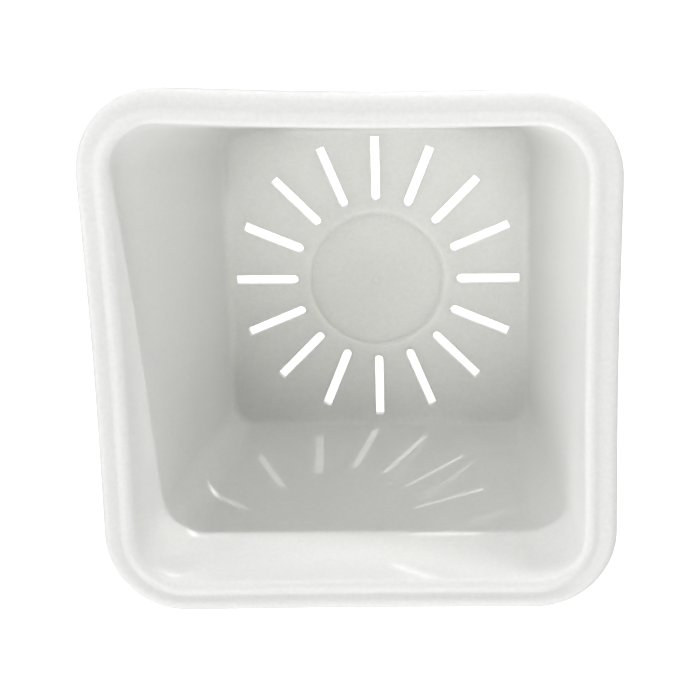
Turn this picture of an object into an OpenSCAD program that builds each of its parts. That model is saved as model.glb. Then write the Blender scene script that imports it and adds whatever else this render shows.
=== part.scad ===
// Square cheese mould: a tapered tub with a slotted draining floor and a turned-down lip.
// Millimetres. The origin is the centre of the plane it stands on, and +Z points to the open mouth.
// Every part below is a feature of one moulding, and they meet face to face.

/* [Tub] */
// Inside width at the floor
floor_inside = 107; // [90:1:120]
// Inside width at the top of the walls, just under the lip
mouth_inside = 128; // [120:1:150]
// Inside depth, from the floor to the top of the bead
depth = 113; // [60:1:160]
// Thickness of the walls
wall_t = 2.5; // [1.5:0.25:3.5]
// Inside corner radius at the floor
floor_corner_r = 8; // [4:1:16]
// Inside corner radius at the mouth
mouth_corner_r = 14; // [8:1:24]

/* [Floor] */
// Thickness of the floor
floor_t = 3; // [2:0.5:5]
// Number of radial drain slots
slot_count = 16; // [8:1:24]
// Length of a slot
slot_length = 22; // [12:1:23]
// Width of a slot
slot_w = 3; // [1.5:0.5:4]
// Gap between the outer end of a slot and the wall it points at
slot_margin = 3.5; // [2.5:0.5:6]
// Diameter of the raised disc in the middle of the floor
disc_d = 49; // [20:1:52]
// Height of the raised disc
disc_h = 1; // [0.5:0.25:2]
// Width of the bevel round the disc
disc_bevel = 0.8; // [0.2:0.1:2]

/* [Lip] */
// Width of the lip, from the inside of the mouth to its outer edge
lip_w = 9.25; // [8:0.25:14]
// Thickness of the lip at its bead
lip_t = 3; // [2.75:0.25:5]
// Width of the flat top of the bead that runs round the inside of the lip
bead_w = 1.5; // [0.5:0.25:2]
// Height of the bead above the rest of the lip
bead_h = 0.75; // [0.25:0.25:1]
// Radius of the inner edge of the bead
bead_edge_r = 1.25; // [0.5:0.25:1.5]
// Width of the slope from the bead down to the rest of the lip
bead_slope_w = 1.75; // [0.5:0.25:2]
// Radius along the outer edge of the lip
lip_edge_r = 2; // [0.5:0.25:3]
// Thickness of the turned-down skirt
skirt_t = 2.5; // [1.5:0.25:3]
// Height of the skirt, from the top of the bead to its lower edge
skirt_h = 9; // [7:0.5:16]

/* [Feet] */
// Height of the corner feet, which lets whey run out from under the floor
foot_h = 3; // [2:0.5:6]
// Thickness of a foot
foot_t = 3; // [2:0.5:5]
// Length of a foot along each side of its corner
foot_leg = 24; // [14:1:36]
// How far the feet stand in from the outside of the walls
foot_inset = 1; // [0:0.5:3]

/* [Hidden] */

plastic = "#e9eae5";
plastic_floor = "#dfe1db";
corner_steps = 10;
arc_steps = 6;
round_fn = 48;
overshoot = 1;

floor_z = foot_h + floor_t;
top_z = floor_z + depth;
wall_top_z = top_z - lip_t;
floor_half = floor_inside / 2;
mouth_half = mouth_inside / 2;
slot_outer_r = floor_half - slot_margin;
slot_inner_r = slot_outer_r - slot_length;

// Quarter turn of a corner: its centre lies on the diagonal, and the arc starts at angle 0
function corner_arc(half, r) =
    [for (i = [0:corner_steps])
        let (a = 90 * i / corner_steps)
        [half - r + r * cos(a), half - r + r * sin(a)]];

function turned(p, a) = [p.x * cos(a) - p.y * sin(a), p.x * sin(a) + p.y * cos(a)];

// Outline of a square with round corners, anticlockwise
function round_square(half, r) =
    [for (quarter = [0:3]) for (p = corner_arc(half, r)) turned(p, 90 * quarter)];

function at_height(outline, z) = [for (p = outline) [p.x, p.y, z]];

// Round stretch of the lip's section: radius r about (x, z), from angle a0 to angle a1
function section_arc(x, z, r, a0, a1) =
    [for (i = [0:arc_steps])
        let (a = a0 + (a1 - a0) * i / arc_steps)
        [x + r * cos(a), z + r * sin(a)]];

// Section of the lip: x is the distance out from the inside of the mouth, y is the height
bead_end = bead_edge_r + bead_w;
lip_section = concat(
    [[0, wall_top_z]],
    section_arc(bead_edge_r, top_z - bead_edge_r, bead_edge_r, 180, 90),
    [[bead_end, top_z],
     [bead_end + bead_slope_w, top_z - bead_h]],
    section_arc(lip_w - lip_edge_r, top_z - bead_h - lip_edge_r, lip_edge_r, 90, 0),
    [[lip_w, top_z - skirt_h],
     [lip_w - skirt_t, top_z - skirt_h],
     [lip_w - skirt_t, wall_top_z]]);

// Closed ring swept round the mouth from a section that runs clockwise
module swept_ring(section) {
    rings = [for (s = section) at_height(round_square(mouth_half + s.x, mouth_corner_r + s.x), s.y)];
    n = len(rings[0]);
    m = len(rings);
    polyhedron(
        points = [for (ring = rings) for (p = ring) p],
        faces = [for (j = [0:m - 1]) for (i = [0:n - 1])
            let (k = (i + 1) % n, below = j * n, above = ((j + 1) % m) * n)
            [above + i, above + k, below + k, below + i]]);
}

// Length of wall between two matching loops of points. Each loop runs anticlockwise, out along the
// wall's outside and back along its inside, so point i lies across the wall from point n - 1 - i
module lofted(low, high) {
    n = len(low);
    polyhedron(
        points = concat(low, high),
        faces = concat(
            [for (i = [0:n / 2 - 2]) [i, i + 1, n - 2 - i, n - 1 - i]],
            [for (i = [0:n / 2 - 2]) [for (k = [n - 1 - i, n - 2 - i, i + 1, i]) n + k]],
            [for (i = [0:n - 1]) let (k = (i + 1) % n) [i, n + i, n + k, k]]));
}

// Flat side wall on the +X side, between the tangent lines of its two corners
module side_wall() {
    function loop(half, corner_r) = let (y = half - corner_r)
        [[half + wall_t, -y], [half + wall_t, y], [half, y], [half, -y]];
    lofted(
        at_height(loop(floor_half, floor_corner_r), floor_z),
        at_height(loop(mouth_half, mouth_corner_r), wall_top_z));
}

// Round corner between the +X wall and the +Y wall, which widens towards the mouth
module wall_corner() {
    function loop(half, corner_r) = concat(
        corner_arc(half + wall_t, corner_r + wall_t),
        [for (i = [corner_steps:-1:0]) corner_arc(half, corner_r)[i]]);
    lofted(
        at_height(loop(floor_half, floor_corner_r), floor_z),
        at_height(loop(mouth_half, mouth_corner_r), wall_top_z));
}

// Drain slot along +X: square at its outer end, round at its inner end
module slot() {
    through = floor_t + 2 * overshoot;
    translate([slot_inner_r + slot_w / 2, 0, foot_h - overshoot]) {
        translate([0, -slot_w / 2, 0]) cube([slot_length - slot_w / 2, slot_w, through]);
        cylinder(h = through, d = slot_w, $fn = round_fn);
    }
}

// Floor with its ring of drain slots, and a round recess in its underside below the disc
module base_plate() {
    color(plastic_floor) difference() {
        translate([0, 0, foot_h])
            linear_extrude(floor_t)
                polygon(round_square(floor_half + wall_t, floor_corner_r + wall_t));
        for (i = [0:slot_count - 1]) rotate(i * 360 / slot_count) slot();
        translate([0, 0, foot_h - overshoot])
            cylinder(h = disc_h + overshoot, d = disc_d - 2 * disc_bevel, $fn = 2 * round_fn);
    }
}

// Raised disc inside the ring of slots
module centre_disc() {
    color(plastic_floor) translate([0, 0, floor_z])
        cylinder(h = disc_h, d1 = disc_d, d2 = disc_d - 2 * disc_bevel, $fn = 2 * round_fn);
}

module right_wall() { color(plastic) side_wall(); }
module back_wall() { color(plastic) rotate(90) side_wall(); }
module left_wall() { color(plastic) rotate(180) side_wall(); }
module front_wall() { color(plastic) rotate(270) side_wall(); }

// The four round corners of the tub
module wall_corners() {
    color(plastic) for (a = [0:90:270]) rotate(a) wall_corner();
}

// Lip with a bead round the mouth, a rolled outer edge and a skirt that turns down outside the walls
module rim_lip() {
    color(plastic) swept_ring(lip_section);
}

// L-shaped foot under one corner
module foot() {
    outer_half = floor_half + wall_t - foot_inset;
    outer_r = floor_corner_r + wall_t - foot_inset;
    intersection() {
        linear_extrude(foot_h) difference() {
            polygon(round_square(outer_half, outer_r));
            polygon(round_square(outer_half - foot_t, outer_r - foot_t));
        }
        translate([outer_half - foot_leg, outer_half - foot_leg, -overshoot])
            cube([foot_leg + overshoot, foot_leg + overshoot, foot_h + 2 * overshoot]);
    }
}

// The four feet the tub stands on
module corner_feet() {
    color(plastic) for (a = [0:90:270]) rotate(a) foot();
}

base_plate();
centre_disc();
front_wall();
right_wall();
back_wall();
left_wall();
wall_corners();
rim_lip();
corner_feet();
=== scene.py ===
"""Square cheese mould in natural white polyethylene, seen into its mouth from above."""

import math

import bmesh
import bpy
from mathutils import Euler, Matrix, Vector


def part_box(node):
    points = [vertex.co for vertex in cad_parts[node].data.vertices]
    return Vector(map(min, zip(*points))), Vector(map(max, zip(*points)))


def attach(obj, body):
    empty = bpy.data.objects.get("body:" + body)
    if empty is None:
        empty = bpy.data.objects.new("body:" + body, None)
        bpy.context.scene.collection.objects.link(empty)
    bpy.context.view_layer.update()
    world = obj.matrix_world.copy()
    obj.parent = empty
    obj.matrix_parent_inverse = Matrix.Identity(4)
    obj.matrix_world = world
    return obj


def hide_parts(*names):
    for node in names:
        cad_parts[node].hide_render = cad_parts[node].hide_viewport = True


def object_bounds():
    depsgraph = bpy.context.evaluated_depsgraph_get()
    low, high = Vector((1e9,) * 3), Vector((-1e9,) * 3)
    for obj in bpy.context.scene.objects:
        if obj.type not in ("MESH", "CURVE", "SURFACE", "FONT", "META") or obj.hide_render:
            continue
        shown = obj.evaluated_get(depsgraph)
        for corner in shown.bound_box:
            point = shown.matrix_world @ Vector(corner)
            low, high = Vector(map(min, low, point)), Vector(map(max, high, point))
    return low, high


MM = 0.001
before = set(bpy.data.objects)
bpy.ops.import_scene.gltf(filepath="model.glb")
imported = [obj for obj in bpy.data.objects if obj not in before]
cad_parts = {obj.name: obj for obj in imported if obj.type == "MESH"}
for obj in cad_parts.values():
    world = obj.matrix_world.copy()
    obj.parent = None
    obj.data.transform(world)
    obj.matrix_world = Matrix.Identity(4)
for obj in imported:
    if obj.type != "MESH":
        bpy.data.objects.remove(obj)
cad_lo, cad_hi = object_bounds()

# ---------------------------------------------------------------- sizes, from the frame

plate_lo, plate_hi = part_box("base_plate")
disc_lo, disc_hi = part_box("centre_disc")
wall_lo, wall_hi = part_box("right_wall")
lip_lo, lip_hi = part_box("rim_lip")
feet_lo, feet_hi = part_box("corner_feet")

FLOOR_Z = plate_hi.z
UNDER_Z = plate_lo.z
TOP_Z = lip_hi.z
FLOOR_HALF = wall_lo.x
WALL_T = plate_hi.x - wall_lo.x
MOUTH_HALF = wall_hi.x - WALL_T
LIP_UNDER_Z = wall_hi.z
MOUTH_CORNER_R = MOUTH_HALF - wall_hi.y
FLOOR_CORNER_R = 8 * MM
DRAFT = math.atan((MOUTH_HALF - FLOOR_HALF) / (LIP_UNDER_Z - FLOOR_Z))
DRAFT_DEG = math.degrees(DRAFT)
LIP_W = lip_hi.x - MOUTH_HALF
SKIRT_Z = lip_lo.z
SKIRT_T = 2.5 * MM
DISC_R = disc_hi.x
DISC_H = disc_hi.z - FLOOR_Z

# ---------------------------------------------------------------- sizes of the small features

# Drain slots: round inner ends, square outer ends with this small a corner
SLOTS = 16
SLOT_INNER_R = 28 * MM
SLOT_OUTER_R = 50 * MM
SLOT_HALF_W = 1.5 * MM
SLOT_END_R = 0.1 * MM
SLOT_EDGE = 0.12 * MM
SLOT_SHARP_DEG = 50
# Fillets and rounded edges of the walls and the skirt
FILLET_R = 3 * MM
BOTTOM_EDGE_R = 1.5 * MM
UNDER_LIP_FILLET_R = 1.0 * MM
SMALLEST_CORNER_R = 1.0 * MM
SKIRT_EDGE_R = 0.8 * MM
# Lip, from the mouth outwards: the bead's inner edge, crest and slope, the dip beside it, the rolled edge
BEAD_EDGE_R = 1.7 * MM
BEAD_W = 0.4 * MM
BEAD_SLOPE_W = 2.3 * MM
BEAD_H = 0.75 * MM
LIP_DIP = 0.15 * MM
LIP_EDGE_R = 2.0 * MM
# Disc: the slope at its edge, and how far the first ring on the floor lies outside it
DISC_SLOPE_W = 2.0 * MM
DISC_GAP = 1.5 * MM
# Gate mark in the middle of the disc: radii in millimetres, and shares of its height
GATE_H = 0.25 * MM
GATE_PROFILE = ((0.35, 0.2), (0.8, 0.6), (1.28, 1.0), (1.6, 0.4), (1.92, 0.0))

# ---------------------------------------------------------------- the tub's rings

SECTOR = 24                 # columns of faces from one slot to the next
COLUMNS = SLOTS * SECTOR
OCTANT = COLUMNS // 8
FLAT = 34                   # columns of an octant that lie on the flat of a side; the rest turn its corner
SLOT_COLUMNS = 3            # columns from a slot's middle to its edge
DISC_STEPS = 8
DISC_RADII = [r * MM for r in (3, 6, 10, 14, 18, 21)]
RECESS_RADII = [r * MM for r in (20, 15, 10, 6, 3, 1)]
SLOT_RADII = [r * MM for r in (32, 36, 40, 44, 47.5)]
SLOT_MARGIN = 0.2 * MM      # how far the rings outside the slots start from the slots' ends
BEND_STEPS = (0.35, 0.7)    # shares of the way from there to the foot of the walls
BAND_STEPS = (0.35, 0.7)    # shares of the way from the dip beside the bead to the rolled edge
WALL_STEPS = 22


def lerp(a, b, t):
    return a + (b - a) * t


def smooth(t):
    t = min(max(t, 0.0), 1.0)
    return t * t * (3 - 2 * t)


def circle_point(r, column):
    a = math.tau * column / COLUMNS
    return Vector((r * math.cos(a), r * math.sin(a)))


def square_point(half, corner_r, column):
    """Point of a square with round corners, from the middle of the +X side anticlockwise."""
    quarter, c = divmod(column + OCTANT, 2 * OCTANT)
    c -= OCTANT
    side = math.copysign(1, c)
    c = abs(c)
    if c <= FLAT:
        u = c / FLAT
        radial = half * math.tan(math.tau * c / COLUMNS)
        p = Vector((half, lerp(radial, (half - corner_r) * u, u * u)))
    else:
        a = math.pi / 4 * (c - FLAT) / (OCTANT - FLAT)
        p = Vector((half - corner_r + corner_r * math.cos(a), half - corner_r + corner_r * math.sin(a)))
    p.y *= side
    return Matrix.Rotation(quarter * math.pi / 2, 2) @ p


def slot_point(r, column):
    """Point of a ring between the slots' ends, whose columns run along the slots' edges."""
    sector, c = divmod(column + SECTOR // 2, SECTOR)
    c -= SECTOR // 2
    side = math.copysign(1, c)
    c = abs(c)
    edge = math.asin(SLOT_HALF_W / r)
    if c <= SLOT_COLUMNS:
        a = math.asin(SLOT_HALF_W / r * c / SLOT_COLUMNS)
    else:
        a = lerp(edge, math.pi / SLOTS, (c - SLOT_COLUMNS) / (SECTOR / 2 - SLOT_COLUMNS))
    a = side * a + math.tau * sector / SLOTS
    return Vector((r * math.cos(a), r * math.sin(a)))


def slot_end_point(inner, column):
    """Point of the ring that runs through the slots' inner, round ends or their outer, square ends."""
    sector, c = divmod(column + SECTOR // 2, SECTOR)
    c -= SECTOR // 2
    centre = SLOT_INNER_R + SLOT_HALF_W if inner else SLOT_OUTER_R - SLOT_END_R
    if abs(c) > SLOT_COLUMNS:
        return slot_point(math.hypot(centre, SLOT_HALF_W), column)
    t = c / SLOT_COLUMNS
    if inner:
        a = t * math.pi / 2
        p = Vector((centre - SLOT_HALF_W * math.cos(a), SLOT_HALF_W * math.sin(a)))
    else:
        p = Vector((centre + SLOT_END_R * (1 - abs(t) ** 4), SLOT_HALF_W * t))
    return Matrix.Rotation(math.tau * sector / SLOTS, 2) @ p


def wall_half(z):
    """Half the width inside the walls at a height, and the radius of their corners there."""
    t = (z - FLOOR_Z) / (LIP_UNDER_Z - FLOOR_Z)
    return lerp(FLOOR_HALF, MOUTH_HALF, t), lerp(FLOOR_CORNER_R, MOUTH_CORNER_R, t)


def circle_ring(r, z):
    return [(*circle_point(r, c), z) for c in range(COLUMNS)]


def slot_ring(r, z):
    return [(*slot_point(r, c), z) for c in range(COLUMNS)]


def slot_end_ring(inner, z):
    return [(*slot_end_point(inner, c), z) for c in range(COLUMNS)]


def square_ring(half, corner_r, z):
    return [(*square_point(half, corner_r, c), z) for c in range(COLUMNS)]


def blend_ring(r, half, corner_r, z, t):
    """Ring part of the way from a circle to a square."""
    return [(*circle_point(r, c).lerp(square_point(half, corner_r, c), t), z) for c in range(COLUMNS)]


def section_arc(x, z, r, a0, a1, steps):
    """Points (x, z) of a round stretch of a section, angles in degrees."""
    points = []
    for i in range(steps + 1):
        a = math.radians(lerp(a0, a1, i / steps))
        points.append((x + r * math.cos(a), z + r * math.sin(a)))
    return points


def disc_slope(z_in, z_out):
    """Rings of the soft slope round the disc, from the disc's level out to the floor's."""
    rings = []
    for i in range(DISC_STEPS + 1):
        t = i / DISC_STEPS
        rings.append(circle_ring(lerp(DISC_R - DISC_SLOPE_W, DISC_R, t), lerp(z_in, z_out, smooth(t))))
    return rings


def inside_rings():
    """Rings of the inside, from the middle of the disc out to the floor round it."""
    disc_top = FLOOR_Z + DISC_H
    rings = [circle_ring(r * MM, disc_top + share * GATE_H) for r, share in GATE_PROFILE]
    rings += [circle_ring(r, disc_top) for r in DISC_RADII]
    rings += disc_slope(disc_top, FLOOR_Z)
    rings.append(circle_ring(DISC_R + DISC_GAP, FLOOR_Z))
    return rings


def fillet_section():
    """Section of the fillet between the floor and the leaning wall."""
    cx = FLOOR_HALF - FILLET_R * math.tan(math.pi / 4 - DRAFT / 2)
    return section_arc(cx, FLOOR_Z + FILLET_R, FILLET_R, -90, -DRAFT_DEG, 8)


def straight(start, end, steps):
    """Points of a straight stretch of a section, its ends left out."""
    return [tuple(lerp(a, b, i / steps) for a, b in zip(start, end)) for i in range(1, steps)]


def bead_section(inner, z):
    """Section of the bead, from its inner edge over its crest and down its slope to the dip beside it."""
    cx = inner + BEAD_EDGE_R * math.cos(DRAFT)
    cz = z - BEAD_EDGE_R * math.sin(DRAFT)
    points = section_arc(cx, cz, BEAD_EDGE_R, 180 - DRAFT_DEG, 90, 6)[1:]
    crest_x, crest_z = points[-1]
    points.append((crest_x + BEAD_W / 2, crest_z))
    for i in range(9):
        t = i / 8
        points.append((crest_x + BEAD_W + BEAD_SLOPE_W * t, crest_z - (BEAD_H + LIP_DIP) * smooth(t)))
    return points


def lip_section(dip_x, band_z):
    """Section of the lip, from the dip over the rolled edge and round the skirt to the wall's outside."""
    outer = MOUTH_HALF + LIP_W
    roll_x = outer - LIP_EDGE_R
    skirt_in = outer - SKIRT_T
    wall_x = MOUTH_HALF + WALL_T
    r = UNDER_LIP_FILLET_R
    points = [(lerp(dip_x, roll_x, t), band_z - LIP_DIP * (1 - smooth(t))) for t in BAND_STEPS]
    points += section_arc(roll_x, band_z - LIP_EDGE_R, LIP_EDGE_R, 90, 0, 8)
    points.append((outer, lerp(band_z - LIP_EDGE_R, SKIRT_Z, 0.5)))
    points += section_arc(outer - SKIRT_EDGE_R, SKIRT_Z + SKIRT_EDGE_R, SKIRT_EDGE_R, 0, -90, 4)
    points += section_arc(skirt_in + SKIRT_EDGE_R, SKIRT_Z + SKIRT_EDGE_R, SKIRT_EDGE_R, -90, -180, 4)
    points += section_arc(skirt_in - r, LIP_UNDER_Z - r, r, 0, 90, 4)
    points += section_arc(wall_x + r - r * math.tan(DRAFT), LIP_UNDER_Z - r, r, 90, 180 + DRAFT_DEG, 5)
    return points


def mouth_section():
    """Section of the walls, the lip and the skirt, from the floor's fillet inside to the underside."""
    points = fillet_section()
    bead_z = TOP_Z - BEAD_EDGE_R
    inner = FLOOR_HALF + (bead_z - FLOOR_Z) * math.tan(DRAFT)
    points += straight(points[-1], (inner, bead_z), WALL_STEPS)
    points.append((inner, bead_z))
    points += bead_section(inner, bead_z)
    dip_x, dip_z = points[-1]
    points += lip_section(dip_x, dip_z + LIP_DIP)
    foot = section_arc(FLOOR_HALF + WALL_T - BOTTOM_EDGE_R, UNDER_Z + BOTTOM_EDGE_R, BOTTOM_EDGE_R,
                       -DRAFT_DEG, -90, 6)
    points += straight(points[-1], foot[0], WALL_STEPS)
    return points + foot


def ring_corner_r(x, z):
    """Corner radius of a ring of the section: the same corner centres all the way up a wall."""
    half, corner_r = wall_half(max(z, FLOOR_Z))
    return max(corner_r + x - half, SMALLEST_CORNER_R)


def under_rings():
    """Rings of the underside, from the slots' inner ends to the middle, with the recess below the disc."""
    recess_z = UNDER_Z + DISC_H
    rings = [circle_ring(DISC_R + DISC_GAP, UNDER_Z)]
    rings += disc_slope(recess_z, UNDER_Z)[::-1]
    return rings + [circle_ring(r, recess_z) for r in RECESS_RADII]


def tub_rings():
    """All the tub's rings in order, and where the slots' rings lie in them, above and below."""
    section = mouth_section()
    walls = [square_ring(x, ring_corner_r(x, z), z) for x, z in section]

    def slotted(z):
        rings = [slot_end_ring(True, z)]
        rings += [slot_ring(r, z) for r in SLOT_RADII]
        rings.append(slot_end_ring(False, z))
        return rings

    def spread(x, z):
        return [blend_ring(SLOT_OUTER_R + SLOT_MARGIN, x, ring_corner_r(x, z), z, t) for t in BEND_STEPS]

    rings = inside_rings()
    above = len(rings)
    rings += slotted(FLOOR_Z)
    rings += spread(section[0][0], FLOOR_Z)
    rings += walls
    rings += spread(section[-1][0], UNDER_Z)[::-1]
    below = len(rings)
    rings += slotted(UNDER_Z)[::-1]
    rings += under_rings()
    return rings, above, below


# ---------------------------------------------------------------- shape of the real moulding

# How far the middle of each side has sunk in at the lip, by the direction that the side faces
SAG = {(1, 0): 0.6 * MM, (0, 1): 1.1 * MM, (-1, 0): 0.7 * MM, (0, -1): 0.3 * MM}
# How far each corner of the lip has crept, by the quarter that it is in
CREEP = {
    (1, 1): Vector((0.15, 0.05)) * MM,
    (-1, 1): Vector((-1.2, 2.5)) * MM,
    (-1, -1): Vector((-0.3, -2.0)) * MM,
    (1, -1): Vector((0.65, -0.25)) * MM,
}
WARP_POWER = 1.5            # how fast both grow from the floor up to the lip


def warped(p):
    """A point of the moulding moved as the real one has shrunk: its sides sink in and its corners creep."""
    x, y, z = p
    height = max((z - FLOOR_Z) / (TOP_Z - FLOOR_Z), 0.0) ** WARP_POWER
    moved = Vector((x, y))
    for (nx, ny), sag in SAG.items():
        out = (x * nx + y * ny) / MOUTH_HALF
        along = (x * ny - y * nx) / MOUTH_HALF
        if out > 0 and abs(along) < 1:
            moved -= Vector((nx, ny)) * sag * smooth(out) * (1 - along * along) ** 2 * height
    for (sx, sy), creep in CREEP.items():
        share = (1 + sx * x / MOUTH_HALF) * (1 + sy * y / MOUTH_HALF) / 4
        moved += creep * share * height
    return moved.x, moved.y, z


def finished(bm, name):
    """Turns a closed shape into a smooth-shaded mesh."""
    bmesh.ops.recalc_face_normals(bm, faces=bm.faces)
    for f in bm.faces:
        f.smooth = True
    mesh = bpy.data.meshes.new(name)
    bm.to_mesh(mesh)
    bm.free()
    return mesh


def build_tub():
    """The whole tub as one closed mesh: its rings joined in order, with the slots cut through the floor."""
    rings, above, below = tub_rings()
    bm = bmesh.new()
    verts = [[bm.verts.new(warped(p)) for p in ring] for ring in rings]
    last = len(rings) - 1
    top_slots = range(above, above + len(SLOT_RADII) + 1)
    low_slots = range(below, below + len(SLOT_RADII) + 1)

    def in_slot(c):
        c = (c + SECTOR // 2) % SECTOR - SECTOR // 2
        return -SLOT_COLUMNS <= c < SLOT_COLUMNS

    for j in range(last):
        slotted = j in top_slots or j in low_slots
        for c in range(COLUMNS):
            if slotted and in_slot(c):
                continue
            k = (c + 1) % COLUMNS
            bm.faces.new((verts[j][c], verts[j + 1][c], verts[j + 1][k], verts[j][k]))
    bm.faces.new(verts[0])
    bm.faces.new(verts[last][::-1])
    # sides and ends of the slots
    depth = len(SLOT_RADII) + 1

    def low(j):
        return verts[below + depth - (j - above)]

    for s in range(SLOTS):
        middle = s * SECTOR
        left = [(j, (middle + SLOT_COLUMNS) % COLUMNS) for j in range(above, above + depth + 1)]
        right = [(j, (middle - SLOT_COLUMNS) % COLUMNS) for j in range(above, above + depth + 1)]
        inner = [(above, (middle + c) % COLUMNS) for c in range(-SLOT_COLUMNS, SLOT_COLUMNS + 1)]
        outer = [(above + depth, (middle + c) % COLUMNS) for c in range(-SLOT_COLUMNS, SLOT_COLUMNS + 1)]
        for path in (left, right[::-1], inner, outer[::-1]):
            for (j0, c0), (j1, c1) in zip(path, path[1:]):
                bm.faces.new((verts[j0][c0], verts[j1][c1], low(j1)[c1], low(j0)[c0]))
    return finished(bm, "tub")


def add(name, data):
    """Puts a new object with a mesh, a light or a camera into the scene."""
    obj = bpy.data.objects.new(name, data)
    bpy.context.scene.collection.objects.link(obj)
    return obj


def apply_modifiers(obj):
    graph = bpy.context.evaluated_depsgraph_get()
    mesh = bpy.data.meshes.new_from_object(obj.evaluated_get(graph))
    obj.modifiers.clear()
    obj.data = mesh


def break_edges(obj, width, angle_deg):
    """Rounds the edges whose faces meet at more than an angle."""
    bevel = obj.modifiers.new("edges", "BEVEL")
    bevel.width = width
    bevel.segments = 2
    bevel.limit_method = "ANGLE"
    bevel.angle_limit = math.radians(angle_deg)
    bevel.use_clamp_overlap = False
    bevel.harden_normals = False
    apply_modifiers(obj)


# ---------------------------------------------------------------- feet

FOOT_T = 3 * MM
FOOT_LEG = 24 * MM
FOOT_SINK = 0.4 * MM        # how far a foot reaches into the floor above it
FOOT_EDGE = 0.5 * MM
FOOT_SHARP_DEG = 40
CORNER_STEPS = 12
LEG_SHARES = (0.33, 0.66)   # where rings lie along a leg


def foot_path():
    """Outer edge of the foot in the +X +Y corner: points (x, y) and the way that each faces outwards."""
    half = feet_hi.x
    r = FLOOR_CORNER_R + half - FLOOR_HALF
    centre = half - r
    tip = half - FOOT_LEG
    path = [(half, tip, 0.0)]
    path += [(half, lerp(tip, centre, t), 0.0) for t in LEG_SHARES]
    for i in range(CORNER_STEPS + 1):
        a = math.pi / 2 * i / CORNER_STEPS
        path.append((centre + r * math.cos(a), centre + r * math.sin(a), a))
    path += [(lerp(centre, tip, t), half, math.pi / 2) for t in (*LEG_SHARES, 1)]
    return path


def build_feet():
    """Four L-shaped feet, each swept round its corner."""
    top_z = UNDER_Z + FOOT_SINK
    bm = bmesh.new()
    for quarter in range(4):
        turn = Matrix.Rotation(quarter * math.pi / 2, 2)
        loops = []
        for x, y, a in foot_path():
            inward = Vector((-math.cos(a), -math.sin(a))) * FOOT_T
            p = turn @ Vector((x, y))
            q = turn @ (Vector((x, y)) + inward)
            corners = ((p, feet_lo.z), (q, feet_lo.z), (q, top_z), (p, top_z))
            loops.append([bm.verts.new((*w, z)) for w, z in corners])
        for a, b in zip(loops, loops[1:]):
            for i in range(4):
                k = (i + 1) % 4
                bm.faces.new((a[i], a[k], b[k], b[i]))
        bm.faces.new(loops[0][::-1])
        bm.faces.new(loops[-1])
    return finished(bm, "corner_feet")


# ---------------------------------------------------------------- material

def hdpe():
    """Natural polyethylene: milky and satin, with a faint haze, fine specks and a moulded grain."""
    mat = bpy.data.materials.new("natural_polyethylene")
    mat.use_nodes = True
    nodes, links = mat.node_tree.nodes, mat.node_tree.links
    bsdf = nodes["Principled BSDF"]
    bsdf.inputs["IOR"].default_value = 1.5
    bsdf.inputs["Subsurface Weight"].default_value = 0.8
    bsdf.inputs["Subsurface Radius"].default_value = (1.0, 1.0, 0.95)
    bsdf.inputs["Subsurface Scale"].default_value = 4.2 * MM

    where = nodes.new("ShaderNodeTexCoord")

    def noise(scale, detail, rough=0.5):
        n = nodes.new("ShaderNodeTexNoise")
        n.inputs["Scale"].default_value = scale
        n.inputs["Detail"].default_value = detail
        n.inputs["Roughness"].default_value = rough
        links.new(where.outputs["Object"], n.inputs["Vector"])
        return n

    def ranged(source, low, high):
        """The middle of a noise stretched over a range."""
        n = nodes.new("ShaderNodeMapRange")
        n.inputs["From Min"].default_value = 0.3
        n.inputs["From Max"].default_value = 0.7
        n.inputs["To Min"].default_value = low
        n.inputs["To Max"].default_value = high
        links.new(source.outputs["Fac"], n.inputs["Value"])
        return n

    def bump(source, strength, height):
        n = nodes.new("ShaderNodeBump")
        n.inputs["Strength"].default_value = strength
        n.inputs["Distance"].default_value = height
        links.new(source.outputs["Fac"], n.inputs["Height"])
        return n

    # colour: a broad haze with fine specks on it
    tint = nodes.new("ShaderNodeValToRGB")
    tint.color_ramp.elements[0].position = 0.35
    tint.color_ramp.elements[0].color = (0.898, 0.9, 0.882, 1)
    tint.color_ramp.elements[1].position = 0.7
    tint.color_ramp.elements[1].color = (0.918, 0.92, 0.903, 1)
    links.new(noise(28, 4).outputs["Fac"], tint.inputs["Fac"])
    specks = ranged(noise(900, 2), 0.972, 1.02)
    speckled = nodes.new("ShaderNodeVectorMath")
    speckled.operation = "SCALE"
    links.new(tint.outputs["Color"], speckled.inputs[0])
    links.new(specks.outputs["Result"], speckled.inputs["Scale"])
    links.new(speckled.outputs["Vector"], bsdf.inputs["Base Color"])

    # satin gloss in patches
    gloss = ranged(noise(60, 5, 0.6), 0.34, 0.48)
    links.new(gloss.outputs["Result"], bsdf.inputs["Roughness"])

    # moulded grain over shallow waves
    grain = bump(noise(1400, 3, 0.6), 0.25, 0.04 * MM)
    waves = bump(noise(70, 3), 0.5, 0.25 * MM)
    links.new(grain.outputs["Normal"], waves.inputs["Normal"])
    links.new(waves.outputs["Normal"], bsdf.inputs["Normal"])
    return mat


plastic = hdpe()
tub = add("tub", build_tub())
break_edges(tub, SLOT_EDGE, SLOT_SHARP_DEG)
feet = add("feet", build_feet())
break_edges(feet, FOOT_EDGE, FOOT_SHARP_DEG)
for piece, nodes in (
        (tub, ("base_plate", "centre_disc", "front_wall", "right_wall", "back_wall", "left_wall",
               "wall_corners", "rim_lip")),
        (feet, ("corner_feet",))):
    piece.data.materials.clear()
    piece.data.materials.append(plastic)
    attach(piece, "root")
    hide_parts(*nodes)

# ---------------------------------------------------------------- stage, lights and camera

scene = bpy.context.scene
scene.view_settings.view_transform = "Standard"
scene.view_settings.look = "None"

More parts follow.
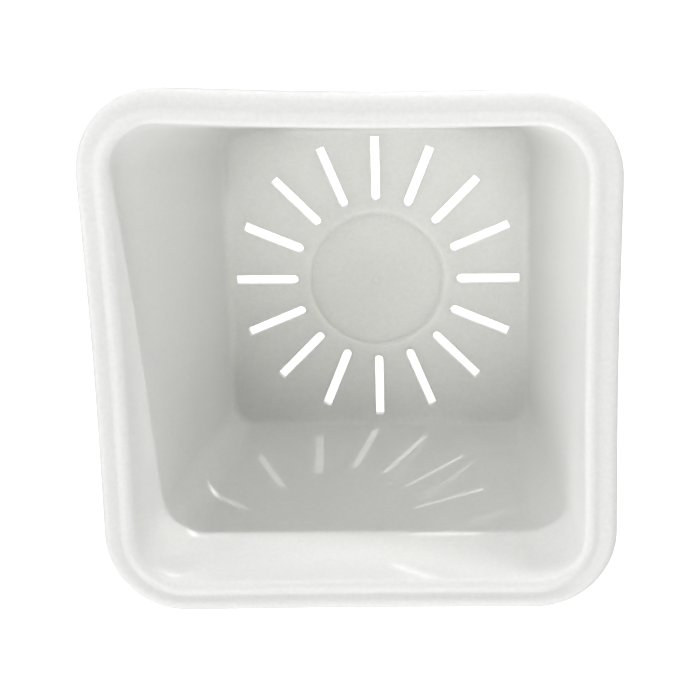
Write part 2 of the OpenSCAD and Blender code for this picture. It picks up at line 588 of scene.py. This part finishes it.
# The camera sees a bright floor; what lights the mould is a table just below it, which glows in a round patch
FLOOR_HALF_SIZE = 20
FLOOR_GLOW = 0.97
TABLE_GLOW = 0.85
TABLE_DROP = 0.1 * MM
GLOW_INNER_R = 32 * MM
GLOW_OUTER_R = 80 * MM
GLOW_SHIFT = 14 * MM        # how far the patch lies towards the back wall
SKY = 0.1
SUNS = (
    # name, the way its light travels, strength, spread in degrees
    ("through_slots", (-0.235, -1, 1.388), 0.8, 0.5),
    ("fill_left", (1, 0, -0.7), 1.55, 60),
    ("fill_right", (-1, 0, -0.7), 0.5, 60),
    ("fill_front", (0, 1, -0.7), 1.7, 60),
)
# A narrow beam comes up through the slots on the right
BEAM_TRAVEL = (-0.102, -1, 1.636)
BEAM_AWAY = 0.6
BEAM_REACH = 27 * MM        # half the width of the patch that it lights
BEAM_SOFT_R = 3 * MM
BEAM_POWER = 0.5
# The strip lights lie level, beyond the back wall, and their light falls by this much for each metre forward
STRIP_FALL = 0.235
STRIP_AWAY = 1.0
STRIP_THICK = 0.012
STRIPS = (
    # name, middle along X, length, power in watts
    ("strip_left", -0.6, 0.6, 1.7),
    ("strip_middle", 0.0, 0.6, 1.8),
    ("strip_right", 0.6, 0.6, 5.2),
)
# A flag, which only casts a shadow, keeps the strip lights off the outside of the back wall
FLAG_Y = 0.3
FLAG_HALF_W = 1.5
FLAG_GAP = 5 * MM
FLAG_TOP = TOP_Z + STRIP_FALL * (FLAG_Y - lip_hi.y) - FLAG_GAP


def stage_material(name, glow):
    """Plain pale matt material that glows by itself."""
    mat = bpy.data.materials.new(name)
    mat.use_nodes = True
    bsdf = mat.node_tree.nodes["Principled BSDF"]
    bsdf.inputs["Base Color"].default_value = (0.8, 0.8, 0.8, 1)
    bsdf.inputs["Roughness"].default_value = 1.0
    bsdf.inputs["Specular IOR Level"].default_value = 0.0
    bsdf.inputs["Emission Color"].default_value = (1, 1, 1, 1)
    bsdf.inputs["Emission Strength"].default_value = glow
    return mat


def glow_in_the_middle(mat):
    """Keeps a surface's glow to a round patch about its object's origin."""
    nodes, links = mat.node_tree.nodes, mat.node_tree.links
    bsdf = nodes["Principled BSDF"]
    where = nodes.new("ShaderNodeTexCoord")
    away = nodes.new("ShaderNodeVectorMath")
    away.operation = "LENGTH"
    glow = nodes.new("ShaderNodeMapRange")
    glow.interpolation_type = "SMOOTHSTEP"
    glow.inputs["From Min"].default_value = GLOW_INNER_R
    glow.inputs["From Max"].default_value = GLOW_OUTER_R
    glow.inputs["To Min"].default_value = bsdf.inputs["Emission Strength"].default_value
    glow.inputs["To Max"].default_value = 0.0
    links.new(where.outputs["Object"], away.inputs[0])
    links.new(away.outputs["Value"], glow.inputs["Value"])
    links.new(glow.outputs["Result"], bsdf.inputs["Emission Strength"])


def stage_sheet(name, mat, place, turn, scale):
    """A flat sheet that casts no shadow and that nothing sees until it is told to."""
    bm = bmesh.new()
    bmesh.ops.create_grid(bm, x_segments=1, y_segments=1, size=1)
    mesh = bpy.data.meshes.new(name)
    bm.to_mesh(mesh)
    bm.free()
    mesh.transform(Matrix.Diagonal((*scale, 1, 1)))
    mesh.materials.append(mat)
    sheet = add(name, mesh)
    sheet.location = place
    sheet.rotation_euler = turn
    sheet.visible_camera = False
    sheet.visible_diffuse = False
    sheet.visible_glossy = False
    sheet.visible_transmission = False
    sheet.visible_shadow = False
    return sheet


def build_stage():
    level, upright = (0, 0, 0), (math.pi / 2, 0, 0)
    size = (FLOOR_HALF_SIZE, FLOOR_HALF_SIZE)
    floor_mat = stage_material("floor", FLOOR_GLOW)
    floor = stage_sheet("floor", floor_mat, (0, 0, cad_lo.z), level, size)
    floor.visible_camera = True
    table_mat = stage_material("light_table", TABLE_GLOW)
    glow_in_the_middle(table_mat)
    table = stage_sheet("light_table", table_mat, (0, GLOW_SHIFT, cad_lo.z - TABLE_DROP), level, size)
    table.visible_diffuse = True
    flag_mat = stage_material("flag", 0.0)
    flag = stage_sheet("flag", flag_mat, (0, FLAG_Y, FLAG_TOP / 2), upright, (FLAG_HALF_W, FLAG_TOP / 2))
    flag.visible_shadow = True


build_stage()

world = bpy.data.worlds.new("studio")
scene.world = world
world.use_nodes = True
background = world.node_tree.nodes["Background"]
background.inputs["Color"].default_value = (1, 1, 1, 1)
background.inputs["Strength"].default_value = SKY


def add_light(name, kind, travel, power):
    """A light that shines the way it is told to."""
    light = bpy.data.lights.new(name, kind)
    light.energy = power
    obj = add(name, light)
    obj.rotation_mode = "QUATERNION"
    obj.rotation_quaternion = Vector(travel).to_track_quat("-Z", "Y")
    return obj


def add_sun(name, travel, strength, spread_deg):
    sun = add_light(name, "SUN", travel, strength)
    sun.data.angle = math.radians(spread_deg)


def add_strip(name, x, length, power):
    strip = add_light(name, "AREA", (0, -1, -STRIP_FALL), power)
    strip.data.shape = "RECTANGLE"
    strip.data.size = length
    strip.data.size_y = STRIP_THICK
    strip.location = (x, STRIP_AWAY, TOP_Z + STRIP_FALL * (STRIP_AWAY - MOUTH_HALF))


def add_beam(name, aim):
    beam = add_light(name, "SPOT", BEAM_TRAVEL, BEAM_POWER)
    beam.data.shadow_soft_size = BEAM_SOFT_R
    beam.data.spot_size = 2 * math.atan(BEAM_REACH / BEAM_AWAY)
    beam.data.spot_blend = 0.2
    beam.location = Vector(aim) - Vector(BEAM_TRAVEL).normalized() * BEAM_AWAY


for settings in SUNS:
    add_sun(*settings)
across = (SLOT_INNER_R + SLOT_OUTER_R) / 2 / math.sqrt(2)
add_beam("through_right_slots", (across, -across, UNDER_Z))
for settings in STRIPS:
    add_strip(*settings)

CAMERA_PLACE = (31.4 * MM, 103 * MM, 494.9 * MM)
CAMERA_TURN_DEG = (-14.813, 2.929, -1.049)
CAMERA_LENS = 72.84         # on a sensor 36 wide
FRAME_SHIFT = -2 / 35        # share of the frame's width

camera = add("camera", bpy.data.cameras.new("camera"))
camera.location = CAMERA_PLACE
camera.rotation_euler = Euler([math.radians(a) for a in CAMERA_TURN_DEG])
camera.data.sensor_width = 36
camera.data.lens = CAMERA_LENS
camera.data.shift_x = FRAME_SHIFT
camera.data.clip_start = 0.01
scene.camera = camera
